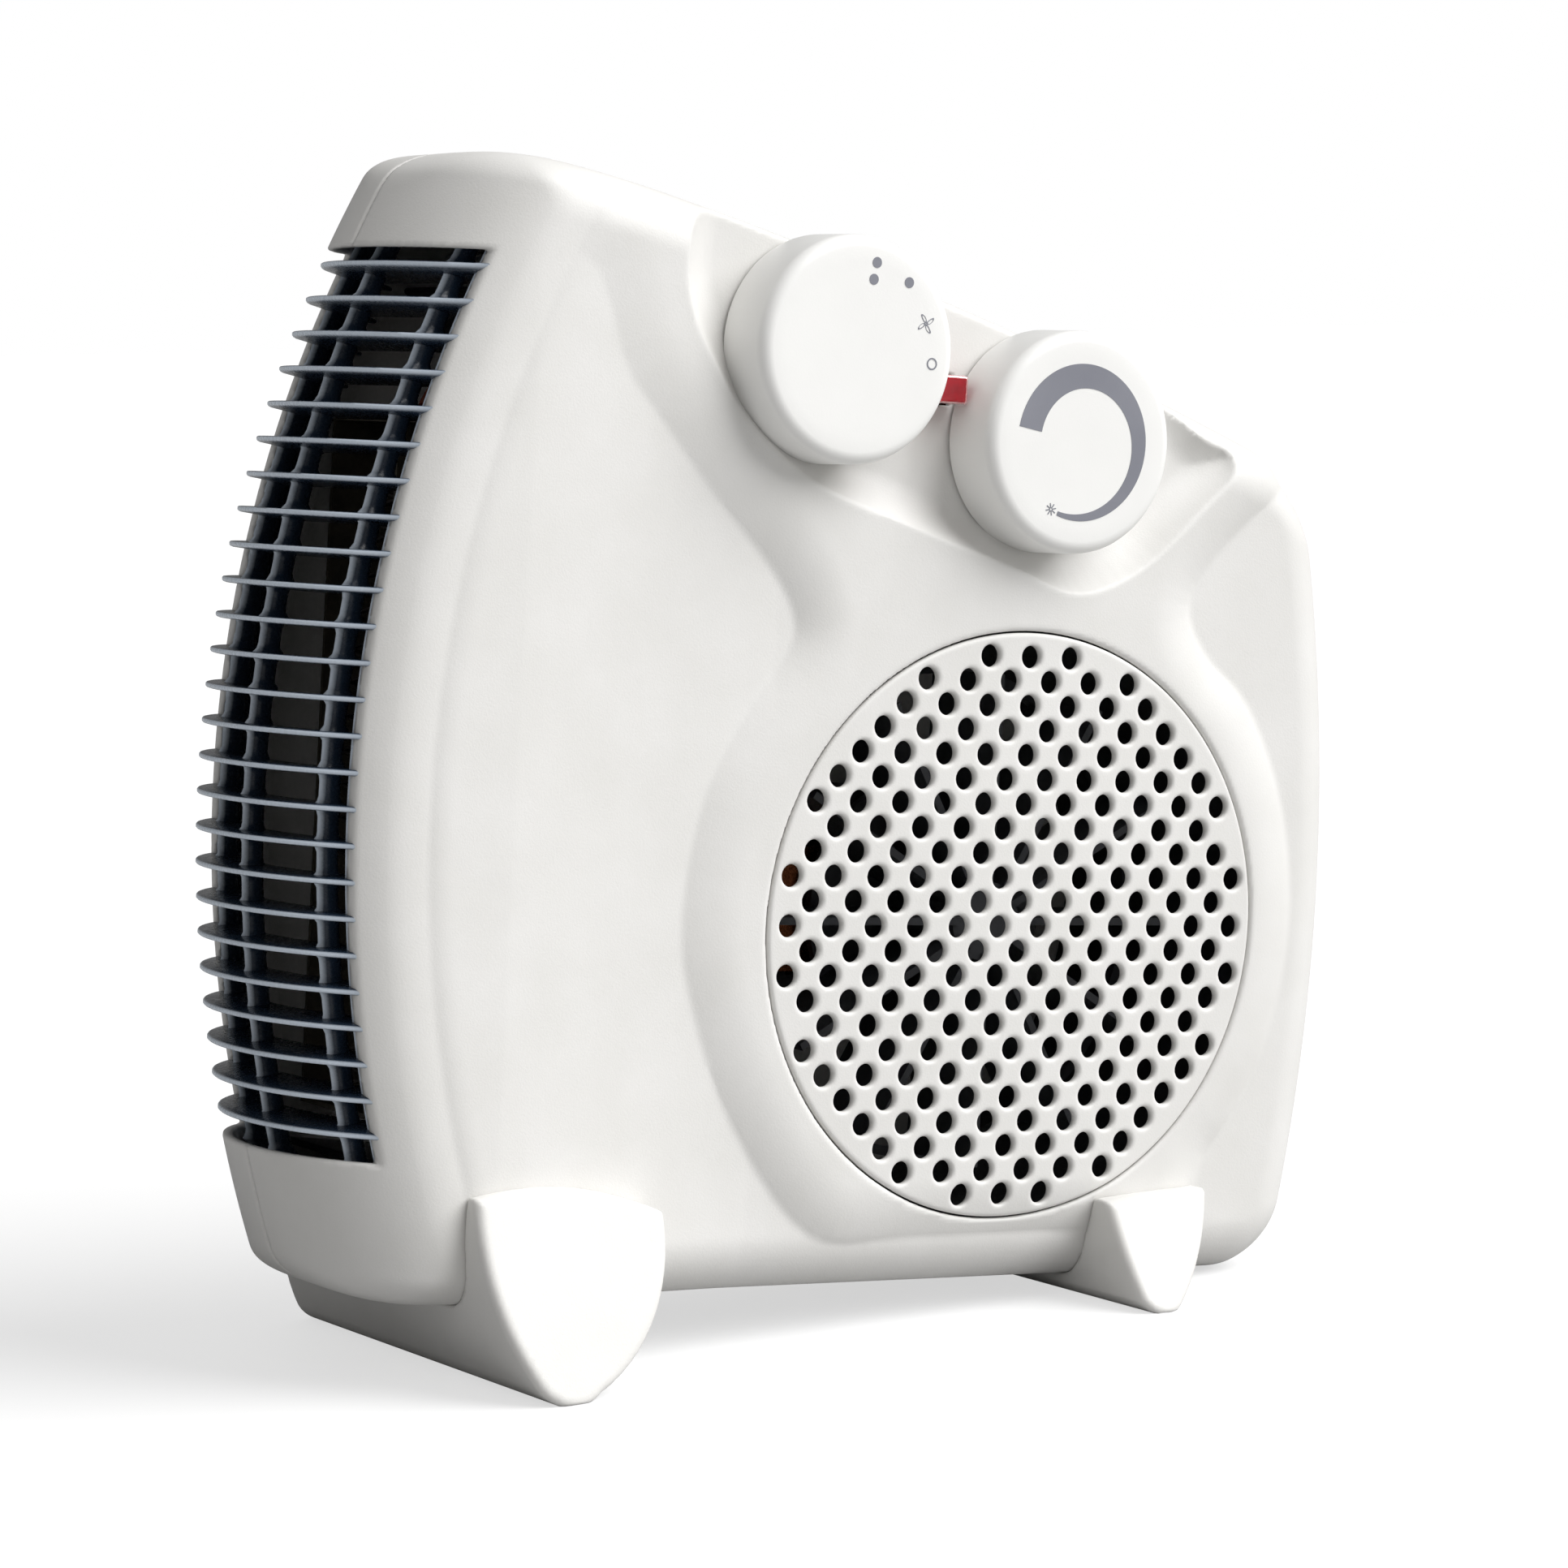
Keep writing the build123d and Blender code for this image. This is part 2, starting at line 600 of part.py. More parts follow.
def plug_pins():
    """Two round contact pins."""
    pin = Cylinder(2.4, 29, rotation=(0, 90, 0))
    pin = fillet(pin.edges().group_by(Axis.X)[0], 1.0)
    y = BODY_DEPTH + 11.5
    return [Pos(PLUG_X - 4.5, y, PLUG_Z + side) * pin for side in (-9.5, 9.5)]


# ---- fasteners ----
def pan_screw(head, shank, length):
    """Pan-head screw pointing to -Y, with the underside of its head at the origin."""
    screw = rod(head, 0, 2.4) + rod(shank, -length, 0)
    screw = fillet(screw.edges().group_by(Axis.Y)[-1], 0.9)
    cross = block(-1.8, 1.8, 1.2, 3, -0.35, 0.35)
    return screw - cross - Rot(0, 90, 0) * cross


def housing_screws():
    return [Pos(x, SCREW_SEAT, z) * pan_screw(3.3, 1.5, 30) for x, z in BOSSES]


def motor_screws():
    screw = Rot(180, 0, 0) * pan_screw(2.8, 1.6, 24)
    return [Pos(x, STACK_FRONT, z) * screw for x, z in MOTOR_POSTS]


def foot_screws():
    screw = Rot(90, 0, 0) * pan_screw(3.2, 1.55, 4.2)
    seat = BODY_BOTTOM + WALL + FIT_GAP
    return [Pos(x, y, seat) * screw for x in (LEFT_FOOT[0], RIGHT_FOOT[0]) for y in FOOT_SCREW_Y]


# ---- whole heater ----
def pieces():
    """Every piece of the heater by name, in the heater's own frame."""
    front_shell, rear_shell = shells()
    return {
        "front_shell": front_shell,
        "rear_shell": rear_shell,
        "intake_grille": intake_grille(),
        "outlet_grille": outlet_grille(),
        "left_foot": foot(left_foot_outline(), 3.5, LEFT_FOOT[0]),
        "right_foot": foot(right_foot_outline(), 3.0, RIGHT_FOOT[0]),
        "selector_knob": knob(*SELECTOR),
        "selector_spindle": spindle(*SELECTOR),
        "selector_switch": selector_switch(),
        "thermostat_knob": knob(*THERMOSTAT),
        "thermostat_spindle": spindle(*THERMOSTAT),
        "thermostat_body": thermostat_body(),
        "pilot_lens": pilot_lens(),
        "pilot_lamp": pilot_lamp(),
        "motor_core": motor_core(),
        "motor_coil": motor_coil(),
        "motor_brackets": motor_brackets(),
        "motor_bearings": motor_bearings(),
        "rotor": rotor(),
        "fan_shaft": fan_shaft(),
        "impeller": impeller(),
        "air_duct": air_duct(),
        "heater_frame": heater_frame(),
        "heating_ribbons": heating_ribbons(),
        "thermal_cutout": thermal_cutout(),
        "thermal_fuse": thermal_fuse(),
        "terminal_block": terminal_block(),
        "internal_wiring": internal_wiring(),
        "cord_grip": cord_grip(),
        "power_cord": power_cord(),
        "cord_tie": cord_tie(),
        "plug_body": plug_body(),
        "plug_pins": plug_pins(),
        "housing_screws": housing_screws(),
        "motor_screws": motor_screws(),
        "foot_screws": foot_screws(),
    }


def standing(parts):
    """Placement that leans the heater onto both feet and centres it over the origin."""
    rise = RIGHT_FOOT[1] - LEFT_FOOT[1]
    run = RIGHT_FOOT[0] - LEFT_FOOT[0]
    turned = Rot(0, degrees(atan2(rise, run)), 0)
    sole = (turned * Pos(LEFT_FOOT[0], 0, LEFT_FOOT[1])).position.Z
    boxes = [(turned * solid).bounding_box() for solids in parts.values() for solid in solids]
    middle_x = (min(box.min.X for box in boxes) + max(box.max.X for box in boxes)) / 2
    middle_y = (min(box.min.Y for box in boxes) + max(box.max.Y for box in boxes)) / 2
    return Pos(-middle_x, -middle_y, -sole - FOOT_FLAT) * turned


heater = {}
for name, piece in pieces().items():
    heater[name] = piece if isinstance(piece, list) else piece.solids()

placement = standing(heater)
above_floor = Pos(0, 0, 250) * Box(800, 800, 500)
for name, solids in heater.items():
    placed = [placement * solid for solid in solids]
    if name.endswith("_foot"):
        placed = [solid & above_floor for solid in placed]
    export_step(Compound(children=placed), f"parts/{name}.step")

landmarks = {
    "selector axis": (SELECTOR[0], KNOB_FRONT, SELECTOR[1]),
    "thermostat axis": (THERMOSTAT[0], KNOB_FRONT, THERMOSTAT[1]),
    "fan axis": (0, FAN_FRONT, 0),
    "left sole": (LEFT_FOOT[0], MID_Y, LEFT_FOOT[1]),
    "right sole": (RIGHT_FOOT[0], MID_Y, RIGHT_FOOT[1]),
}
for label, point in landmarks.items():
    position = (placement * Pos(*point)).position
    print(label, round(position.X, 3), round(position.Y, 3), round(position.Z, 3))
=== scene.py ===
import json
from math import atan2, cos, hypot, pi, radians, sin, sqrt

import bpy
import numpy as np
from mathutils import Matrix, Vector


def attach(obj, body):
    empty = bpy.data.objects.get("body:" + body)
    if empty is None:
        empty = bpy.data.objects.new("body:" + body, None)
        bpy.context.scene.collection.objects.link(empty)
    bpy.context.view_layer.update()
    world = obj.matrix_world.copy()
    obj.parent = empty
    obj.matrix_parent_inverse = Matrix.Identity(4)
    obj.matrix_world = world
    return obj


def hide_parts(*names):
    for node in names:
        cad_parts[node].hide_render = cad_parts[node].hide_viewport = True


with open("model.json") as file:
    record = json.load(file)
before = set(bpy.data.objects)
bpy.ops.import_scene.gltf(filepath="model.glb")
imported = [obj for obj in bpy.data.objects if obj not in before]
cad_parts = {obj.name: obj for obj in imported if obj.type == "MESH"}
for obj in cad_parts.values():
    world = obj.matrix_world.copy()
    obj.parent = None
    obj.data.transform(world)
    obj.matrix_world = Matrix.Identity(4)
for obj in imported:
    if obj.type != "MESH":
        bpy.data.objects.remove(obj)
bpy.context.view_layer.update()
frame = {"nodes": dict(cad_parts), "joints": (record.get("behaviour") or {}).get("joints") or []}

# Shapes are written in millimetres in the heater's own frame: X right, Y into the casing, Z up,
# with the origin on the front face at the middle of the air intake. place() stands them on the
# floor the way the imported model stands, which is read from two of its joints.

# ---- casing ----
BODY_DEPTH = 74.0
MID_Y = BODY_DEPTH / 2
WALL = 2.2
PANEL_STEP = 3.1
STEP_WIDTH = 13.0
EDGE_ROUND = 13.0
BODY_BOTTOM = -77.8
TOP_LEFT = (-140.5, 155.6)
SHOULDER = (-94.0, 149.3)
CROWN = (-12.0, 129.3)
TOP_RIGHT = (79.0, 98.8)
RIGHT_BULGE = (90.1, 0.0)
BOTTOM_RIGHT = (81.4, BODY_BOTTOM)
DOME_DEPTH = 2.0

# ---- air outlet ----
ARC_X, ARC_Z = 102.0, 23.0
NOSE_START = 245.0
NOSE_BULGE = 28.0
NOSE_EDGE = 7.0
OPENING_RADIUS = 259.3
OPENING_TOP = 133.4
OPENING_BOTTOM = -47.7
FIN_COUNT = 25
FIN_PITCH = 7.19
FIRST_FIN_Z = 130.2
FIN_DEPTH = 10.5

# ---- air intake ----
INTAKE_RADIUS = 62.3
HOLE_PITCH = 5.2
HOLE_RADIUS = 2.4
HOLE_FIELD = 11.45

# ---- controls ----
SELECTOR = (-53.6, 118.8)
THERMOSTAT = (3.3, 102.9)
LAMP = (-23.8, 112.4)
LENS_HALF = (3.9, 3.0)
LENS_MID = 4.2
LENS_REACH = 2.7
KNOB_RADIUS = 23.6
KNOB_FRONT = -7.8
KNOB_BACK = 7.5
POCKET_FLOOR = 8.0
POCKET_WALL = 9.5

# ---- feet, fasteners and cord ----
LEFT_TIP = -94.0
RIGHT_TIP = -81.7
FOOT_OVERHANG = 18.0
BOSSES = [(72.0, 78.0), (70.0, -58.0), (-104.0, 131.0), (-136.0, -61.0), (27.0, 68.0)]
CORD_EXIT = (58.0, 60.0)

JOINTS = {joint["name"]: joint for joint in frame["joints"]}


def placement():
    """Matrix from the heater's own millimetres to the floor frame's metres."""
    fan = Vector(JOINTS["fan_spin"]["pos_m"]) * 1000
    selector = Vector(JOINTS["selector_turn"]["pos_m"]) * 1000
    drawn = atan2(SELECTOR[0], SELECTOR[1])
    packed = atan2(selector.x - fan.x, selector.z - fan.z)
    lean = Matrix.Rotation(packed - drawn, 4, "Y")
    return Matrix.Scale(0.001, 4) @ Matrix.Translation(fan - Vector((0, 12, 0))) @ lean


PLACE = placement()
PLACE_ARRAY = np.array(PLACE)


def place(points):
    """Points in millimetres, turned and moved into the floor frame."""
    return np.asarray(points, float) @ PLACE_ARRAY[:3, :3].T + PLACE_ARRAY[:3, 3]


# ---- distance fields: negative inside, positive outside ----
def soft_max(a, b, width):
    """Larger of two fields, with the edge between them rounded."""
    share = np.clip(0.5 + 0.5 * (a - b) / width, 0, 1)
    return b + (a - b) * share + width * share * (1 - share)


def round_max(a, b, radius):
    """Overlap of two shapes that meet square, with a rounded corner."""
    u = np.maximum(a + radius, 0)
    v = np.maximum(b + radius, 0)
    inside = np.minimum(np.maximum(a + radius, b + radius), 0)
    return np.sqrt(u * u + v * v) - radius + inside


def circle_through(a, b, c):
    """Centre and radius of the circle through three points."""
    rows = [[2 * (q[0] - a[0]), 2 * (q[1] - a[1])] for q in (b, c)]
    sides = [q[0] ** 2 - a[0] ** 2 + q[1] ** 2 - a[1] ** 2 for q in (b, c)]
    x, z = np.linalg.solve(rows, sides)
    return x, z, hypot(a[0] - x, a[1] - z)


def arc_points(a, b, c, count=14):
    """Points along the circular arc from a through b to c, without the last."""
    x, z, radius = circle_through(a, b, c)
    first, middle, last = (atan2(p[1] - z, p[0] - x) for p in (a, b, c))
    middle += 2 * pi * round((first - middle) / (2 * pi))
    last += 2 * pi * round((middle - last) / (2 * pi))
    angles = np.linspace(first, last, count + 1)[:-1]
    return [(x + radius * cos(t), z + radius * sin(t)) for t in angles]


def smooth_outline(points, steps=5):
    """Closed curve through the points."""
    ring = np.array(points, float)
    before, after, beyond = np.roll(ring, 1, 0), np.roll(ring, -1, 0), np.roll(ring, -2, 0)
    curve = []
    for t in np.arange(steps) / steps:
        curve.append(0.5 * (
            2 * ring + (after - before) * t
            + (2 * before - 5 * ring + 4 * after - beyond) * t**2
            + (3 * ring - before - 3 * after + beyond) * t**3
        ))
    return np.stack(curve, 1).reshape(-1, 2)


def outline_field(outline, x, z):
    """Distance to a closed outline, negative inside it."""
    x, z = np.broadcast_arrays(x, z)
    nearest = np.full(x.shape, 1e9)
    inside = np.zeros(x.shape, bool)
    for (ax, az), (bx, bz) in zip(outline, np.roll(outline, -1, 0)):
        dx, dz = bx - ax, bz - az
        share = np.clip(((x - ax) * dx + (z - az) * dz) / (dx * dx + dz * dz), 0, 1)
        nearest = np.minimum(nearest, (x - ax - share * dx) ** 2 + (z - az - share * dz) ** 2)
        if dz:
            inside ^= ((az > z) != (bz > z)) & (x < ax + (z - az) * dx / dz)
    return np.where(inside, -1, 1) * np.sqrt(nearest)


def tabulated(field, low, high, step=0.4):
    """The same flat field, read from a fine table so that it is quick to repeat."""
    columns, rows = (np.arange(a, b + step, step) for a, b in zip(low, high))
    table = field(columns[:, None], rows[None, :])

    def look_up(x, z):
        x, z = np.broadcast_arrays(x, z)
        across = np.clip((x - low[0]) / step, 0, len(columns) - 1.001)
        up = np.clip((z - low[1]) / step, 0, len(rows) - 1.001)
        i, k = across.astype(int), up.astype(int)
        a, b = across - i, up - k
        lower = table[i, k] * (1 - a) + table[i + 1, k] * a
        upper = table[i, k + 1] * (1 - a) + table[i + 1, k + 1] * a
        return lower * (1 - b) + upper * b
    return look_up


def skin(field, low, high, cell):
    """Closed mesh of the zero level of a field: one corner per crossed cell, set on the surface."""
    x, y, z = (np.arange(a, b + cell, cell) for a, b in zip(low, high))
    value = field(x[:, None, None], y[None, :, None], z[None, None, :])
    points, cells, flips = [], [], []
    for axis in range(3):
        size = value.shape[axis]
        lower = np.take(value, range(size - 1), axis)
        upper = np.take(value, range(1, size), axis)
        edge = np.argwhere((lower < 0) != (upper < 0))
        start, end = lower[tuple(edge.T)], upper[tuple(edge.T)]
        point = edge.astype(float)
        point[:, axis] += start / (start - end)
        b, c = (axis + 1) % 3, (axis + 2) % 3
        corners = []
        for step_b, step_c in ((0, 0), (-1, 0), (-1, -1), (0, -1)):
            corner = edge.copy()
            corner[:, b] += step_b
            corner[:, c] += step_c
            corners.append(np.ravel_multi_index(corner.T, value.shape))
        points.append(np.repeat(point, 4, 0))
        cells.append(np.stack(corners, 1))
        flips.append(start < 0)
    cells, flips = np.concatenate(cells), np.concatenate(flips)
    _, corner_of = np.unique(cells.ravel(), return_inverse=True)
    corner_of = corner_of.ravel()
    points = np.concatenate(points)
    share = np.bincount(corner_of)
    verts = np.stack([np.bincount(corner_of, points[:, k]) / share for k in range(3)], 1)
    verts = np.array(low) + verts * cell
    faces = corner_of.reshape(-1, 4)
    faces[flips] = faces[flips][:, ::-1]
    return onto_surface(field, verts, cell), faces


def onto_surface(field, verts, cell, rounds=2):
    """Moves points along the field's slope until they lie on its zero level."""
    step = cell / 8
    for _ in range(rounds):
        here = field(*verts.T)
        slope = np.zeros_like(verts)
        for axis in range(3):
            shift = np.zeros(3)
            shift[axis] = step
            slope[:, axis] = (field(*(verts + shift).T) - field(*(verts - shift).T)) / (2 * step)
        steep = np.maximum((slope**2).sum(1), 0.05)
        move = -(here / steep)[:, None] * slope
        length = np.linalg.norm(move, axis=1)[:, None]
        verts = verts + move * np.minimum(1, 0.6 * cell / np.maximum(length, 1e-9))
    return verts


def add_piece(name, verts, faces, body, material, stands_for=(), sharp=None):
    """Makes a mesh object from millimetre points, on a CAD body, smoothly shaded."""
    mesh = bpy.data.meshes.new(name)
    mesh.from_pydata(place(verts).tolist(), [], [list(face) for face in faces])
    mesh.polygons.foreach_set("use_smooth", [True] * len(mesh.polygons))
    if sharp:
        mesh.set_sharp_from_angle(angle=radians(sharp))
    mesh.materials.append(material)
    mesh.update()
    piece = bpy.data.objects.new(name, mesh)
    bpy.context.scene.collection.objects.link(piece)
    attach(piece, body)
    if stands_for:
        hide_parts(*stands_for)
    return piece


# ---- casing shape ----
LEFT_PANEL = smooth_outline([
    (-124, 130), (-101, 109.6), (-80.2, 88.7), (-64.4, 73.4), (-58.3, 64), (-59.2, 56.6),
    (-69.2, 42.6), (-78, 26), (-81.8, 4), (-79.3, -14.1), (-67, -41.4), (-46, -65.3),
    (-20, -66.2), (19.4, -66.2), (25, -70), (24.5, -90), (-60, -120), (-180, -120), (-200, 20),
])
RIGHT_PANEL = smooth_outline([
    (110, 110), (78, 100), (65.1, 93.4), (50.4, 80.8), (43.5, 69.5), (48.7, 58.7),
    (61.3, 47.6), (72, 26), (76, 0), (71.5, -24.9), (62, -43.2), (55, -54), (54, -80),
    (80, -110), (130, -60),
])
POCKET = smooth_outline([
    (-86, 160), (-89.3, 140), (-88.5, 126.6), (-80.7, 112.1), (-72.3, 101.9), (-55.9, 91),
    (-31, 83.2), (-5.7, 75.9), (11.7, 71.2), (28.3, 77.2), (43.9, 90.3), (53.6, 99.6),
    (52.5, 105.5), (42, 112), (30, 150), (30, 200), (-80, 200),
])
RIGHT_ARC = circle_through(TOP_RIGHT, RIGHT_BULGE, BOTTOM_RIGHT)
TOP_ARC = circle_through(SHOULDER, CROWN, TOP_RIGHT)


def arc_running_on(circle, start, end):
    """Centre and radius of the arc that leaves a circle smoothly at start and reaches end."""
    x, z, radius = circle
    inward_x, inward_z = (x - start[0]) / radius, (z - start[1]) / radius
    across, up = end[0] - start[0], end[1] - start[1]
    turn = (across**2 + up**2) / (2 * (across * inward_x + up * inward_z))
    return start[0] + turn * inward_x, start[1] + turn * inward_z, turn


NOSE_TOP_ARC = arc_running_on(TOP_ARC, SHOULDER, TOP_LEFT)


def arc_field(arc, x, z):
    return np.hypot(x - arc[0], z - arc[1]) - arc[2]


def top_field(x, z):
    """Top of the casing: one long arc, and a second that runs on from it over the nose."""
    along = (x - SHOULDER[0]) * (SHOULDER[1] - TOP_ARC[1])
    past_shoulder = along < (z - SHOULDER[1]) * (SHOULDER[0] - TOP_ARC[0])
    return np.where(past_shoulder, arc_field(NOSE_TOP_ARC, x, z), arc_field(TOP_ARC, x, z))


def side_field(x, z):
    """Front view of the casing, without its rounded nose."""
    left = arc_field((ARC_X, ARC_Z, NOSE_START + NOSE_BULGE + 3), x, z)
    upper = round_max(round_max(left, top_field(x, z), 16), arc_field(RIGHT_ARC, x, z), 16)
    return round_max(upper, BODY_BOTTOM - z, 16)


def drawn_face(x, z):
    """Depth of the front face: a slight dome, and the panels stepped down beside the surround."""
    rise = x * x / 1625 + z * z / 2000
    near_nose = np.clip((np.hypot(x - ARC_X, z - ARC_Z) - 185) / 60, 0, 1)
    dome = DOME_DEPTH * (1 - np.exp(-rise / DOME_DEPTH)) * (1 - near_nose**2 * (3 - 2 * near_nose))
    fade = np.clip((x + 124) / 62, 0, 1)
    left = np.clip(1 - outline_field(LEFT_PANEL, x, z) / STEP_WIDTH, 0, 1) ** 2 * fade
    right = np.clip(1 - outline_field(RIGHT_PANEL, x, z) / STEP_WIDTH, 0, 1) ** 2
    return dome + PANEL_STEP * np.maximum(left, right)


def drawn_pocket(x, z):
    """Depth of the knob recess: a flat floor with hollow sides."""
    inward = -outline_field(POCKET, x, z) / POCKET_WALL
    wall = np.where(inward > 0, 1 - (1 - np.clip(inward, 0, 1)) ** 2, 2 * inward)
    return 1.6 + (POCKET_FLOOR - 1.6) * wall


face_depth = tabulated(drawn_face, (-178, -82), (96, 162))
pocket_depth = tabulated(drawn_pocket, (-178, -82), (96, 162))


def nose_field(x, y, z):
    """Rounded nose: an ellipse in plan, turned about the outlet arc's centre."""
    radius = np.hypot(x - ARC_X, z - ARC_Z)
    out = np.maximum(radius - NOSE_START, 0) / NOSE_BULGE
    ellipse = (np.hypot(out, (y - MID_Y) / MID_Y) - 1) * NOSE_BULGE
    return ellipse - 6 * np.clip((NOSE_START - radius) / 15, 0, 1)


def casing_field(x, y, z):
    """Outside of the whole casing."""
    side = side_field(x, z)
    front = round_max(side, face_depth(x, z) - y, EDGE_ROUND)
    front = soft_max(front, pocket_depth(x, z) - y, 0.6)
    back = round_max(side, y - BODY_DEPTH, EDGE_ROUND)
    ends = np.maximum(top_field(x, z), BODY_BOTTOM - z)
    nose = round_max(nose_field(x, y, z), ends, NOSE_EDGE)
    return soft_max(np.where(y < MID_Y, front, back), nose, 2.0)


def rod_field(radius, x, z, centre):
    return np.hypot(x - centre[0], z - centre[1]) - radius


def outlet_opening(x, z):
    """Window in the nose for the outlet fins."""
    radius = np.hypot(x - ARC_X, z - ARC_Z)
    return np.maximum(np.maximum(OPENING_RADIUS - radius, z - OPENING_TOP), OPENING_BOTTOM - z)


def front_shell_field(x, y, z):
    outer = casing_field(x, y, z)
    wall = np.maximum(outer, -outer - WALL)
    for boss in BOSSES:
        wall = np.minimum(wall, np.maximum(rod_field(4, x, z, boss), outer + 1))
    wall = soft_max(wall, -outlet_opening(x, z), 0.7)
    wall = soft_max(wall, -rod_field(INTAKE_RADIUS + 0.4, x, z, (0, 0)), 0.9)
    for spindle in (SELECTOR, THERMOSTAT):
        wall = np.maximum(wall, -rod_field(4, x, z, spindle))
    window = np.maximum(abs(x - LAMP[0]) - LENS_HALF[0], abs(z - LAMP[1]) - LENS_HALF[1]) - 0.25
    wall = np.maximum(wall, -window)
    return soft_max(wall, y - MID_Y + 0.1, 0.5)


def rear_shell_field(x, y, z):
    outer = casing_field(x, y, z)
    wall = np.maximum(outer, -outer - WALL)
    wall = soft_max(wall, -outlet_opening(x, z), 0.7)
    wall = np.maximum(wall, -rod_field(5.7, x, z, CORD_EXIT))
    for boss in BOSSES:
        post = np.maximum(rod_field(4.8, x, z, boss), outer + 0.5)
        wall = np.minimum(wall, post)
        well = np.maximum(rod_field(3.6, x, z, boss), MID_Y + 12 - y)
        wall = soft_max(wall, -well, 0.8)
    return soft_max(wall, MID_Y + 0.1 - y, 0.5)


def intake_field(x, y, z):
    """Round disc with a diamond lattice of round holes with soft rims."""
    face = face_depth(x, z)
    slab = np.maximum(face - y, y - face - WALL)
    disc = round_max(np.hypot(x, z) - INTAKE_RADIUS, slab, 0.7)
    i_sum = 2 * np.floor((x + z) / HOLE_PITCH / 2) + 1
    i_gap = 2 * np.floor((x - z) / HOLE_PITCH / 2) + 1
    column, row = (i_sum + i_gap) / 2, (i_sum - i_gap) / 2
    hole = HOLE_RADIUS - np.hypot(x - column * HOLE_PITCH, z - row * HOLE_PITCH)
    hole = np.where(column**2 + row**2 <= HOLE_FIELD**2, hole, -9)
    return soft_max(disc, hole, 0.9)


def lens_field(x, y, z):
    """Pilot lens: a small block with softened edges, standing out of its window."""
    around = round_max(abs(x - LAMP[0]) - LENS_HALF[0], abs(z - LAMP[1]) - LENS_HALF[1], 0.8)
    return round_max(around, abs(y - LENS_MID) - LENS_REACH, 0.7)


# ---- feet ----
LEFT_FOOT = (
    arc_points((-130.5, -54), (-109, -52.5), (-87.5, -57.5))
    + arc_points((-87.5, -57.5), (-92, -77), (-107, -91.5))
    + arc_points((-107, -91.5), (-114.4, -94), (-121, -90.5))
    + arc_points((-121, -90.5), (-128.5, -75), (-130.5, -54))
)
RIGHT_FOOT = (
    arc_points((24.5, -59), (38, -57.6), (52, -57))
    + arc_points((52, -57), (46, -69), (37, -79.6))
    + arc_points((37, -79.6), (31.5, -81.7), (26.5, -79))
    + arc_points((26.5, -79), (25, -70), (24.5, -59))
)


def foot_field(outline, tip, top, ear):
    """Bar under the casing whose two ears lean out towards the tip."""
    (low_x, low_z), (high_x, high_z) = outline.min(0) - 5, outline.max(0) + 5
    front_view = tabulated(lambda x, z: outline_field(outline, x, z), (low_x, low_z), (high_x, high_z))

    def field(x, y, z):
        lean = (FOOT_OVERHANG - ear) / (top - tip)
        reach = MID_Y + ear + lean * (top - z)
        ends = (abs(y - MID_Y) - reach) / hypot(1, lean)
        bar = round_max(front_view(x, z), ends, 2.0)
        bar = soft_max(bar, 0.1 - casing_field(x, y, z), 0.6)
        return np.maximum(bar, floor_field(x, z))
    return field


def floor_field(x, z):
    """Everything below the floor."""
    up = PLACE_ARRAY[2]
    return -(up[0] * x + up[2] * z + up[3]) * 1000


# ---- materials ----
def plain_nodes(name):
    material = bpy.data.materials.new(name)
    material.use_nodes = True
    nodes, links = material.node_tree.nodes, material.node_tree.links
    shader = next(node for node in nodes if node.type == "BSDF_PRINCIPLED")
    return material, nodes, links, shader


def noise(nodes, links, size, detail=3.0):
    """Noise with features of about the given size in millimetres."""
    where = nodes.new("ShaderNodeTexCoord")
    texture = nodes.new("ShaderNodeTexNoise")
    texture.inputs["Scale"].default_value = 1000 / size
    texture.inputs["Detail"].default_value = detail
    links.new(where.outputs["Object"], texture.inputs["Vector"])
    return texture.outputs["Fac"]


def spread(nodes, links, source, low, high):
    """Maps the middle of a noise's range onto low to high."""
    mapping = nodes.new("ShaderNodeMapRange")
    mapping.inputs["From Min"].default_value = 0.3
    mapping.inputs["From Max"].default_value = 0.7
    mapping.inputs["To Min"].default_value = low
    mapping.inputs["To Max"].default_value = high
    links.new(source, mapping.inputs["Value"])
    return mapping.outputs["Result"]


def mix_colours(nodes, links, factor, first, second):
    mix = nodes.new("ShaderNodeMix")
    mix.data_type = "RGBA"
    links.new(factor, mix.inputs["Factor"])
    for socket, colour in zip((mix.inputs[6], mix.inputs[7]), (first, second)):
        if isinstance(colour, tuple):
            socket.default_value = (*colour, 1)
        else:
            links.new(colour, socket)
    return mix.outputs[2]


def surface(name, dark, light, roughness, grain, bump, patch=18.0, metallic=0.0, **extra):
    """Moulded or plated surface: patchy colour, uneven gloss and a fine grain."""
    material, nodes, links, shader = plain_nodes(name)
    patches = spread(nodes, links, noise(nodes, links, patch), 0, 1)
    links.new(mix_colours(nodes, links, patches, dark, light), shader.inputs["Base Color"])
    fine = noise(nodes, links, grain, 2.0)
    links.new(spread(nodes, links, fine, roughness[0], roughness[1]), shader.inputs["Roughness"])
    relief = nodes.new("ShaderNodeBump")
    relief.inputs["Strength"].default_value = bump
    relief.inputs["Distance"].default_value = grain * 0.0002
    links.new(fine, relief.inputs["Height"])
    links.new(relief.outputs["Normal"], shader.inputs["Normal"])
    shader.inputs["Metallic"].default_value = metallic
    for socket, value in extra.items():
        shader.inputs[socket.replace("_", " ")].default_value = value
    return material


